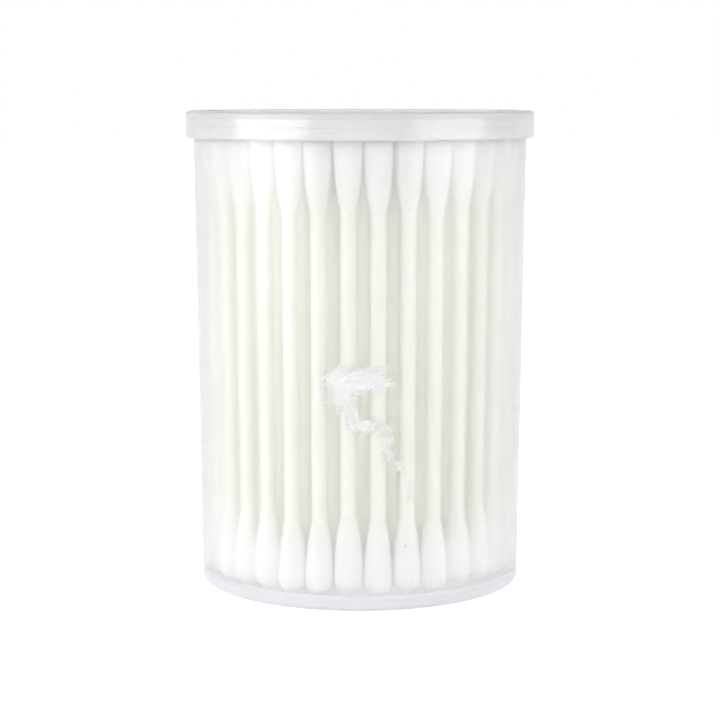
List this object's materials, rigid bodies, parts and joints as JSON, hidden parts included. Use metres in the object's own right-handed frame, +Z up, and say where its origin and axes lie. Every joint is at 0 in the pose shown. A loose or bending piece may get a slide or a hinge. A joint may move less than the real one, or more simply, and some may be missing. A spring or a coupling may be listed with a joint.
{
  "type": "cotton swab tub",
  "caption": "Clear round plastic tub with a press-on lid, packed with upright double-ended cotton swabs on paper sticks.",
  "frame": {"origin": "on the tub's axis, on the surface that it stands on", "axes": "+Z up along the tub's axis, through the lid; -Y is the front; the tub and lid are round, so X and Y differ only by where the swabs stand"},
  "size_m": [0.0588, 0.0588, 0.08],
  "materials": {
    "clear_plastic": "gloss",
    "paper_stick": "matte",
    "cotton": "matte"
  },
  "bodies": {
    "tub": {"tub": "clear_plastic", "centre_lower_tips": "cotton", "centre_sticks": "paper_stick", "centre_upper_tips": "cotton", "ring_1_lower_tips": "cotton", "ring_1_sticks": "paper_stick", "ring_1_upper_tips": "cotton", "ring_2_lower_tips": "cotton", "ring_2_sticks": "paper_stick", "ring_2_upper_tips": "cotton", "ring_3_lower_tips": "cotton", "ring_3_sticks": "paper_stick", "ring_3_upper_tips": "cotton", "ring_4_lower_tips": "cotton", "ring_4_sticks": "paper_stick", "ring_4_upper_tips": "cotton", "ring_5_lower_tips": "cotton", "ring_5_sticks": "paper_stick", "ring_5_upper_tips": "cotton"},
    "lid": {"lid": "clear_plastic"}
  },
  "joints": [
    {"name": "lid_lift", "type": "slide", "parent": "tub", "child": "lid", "axis": [0, 0, 1], "range_m": [0, 0.05]}
  ]
}
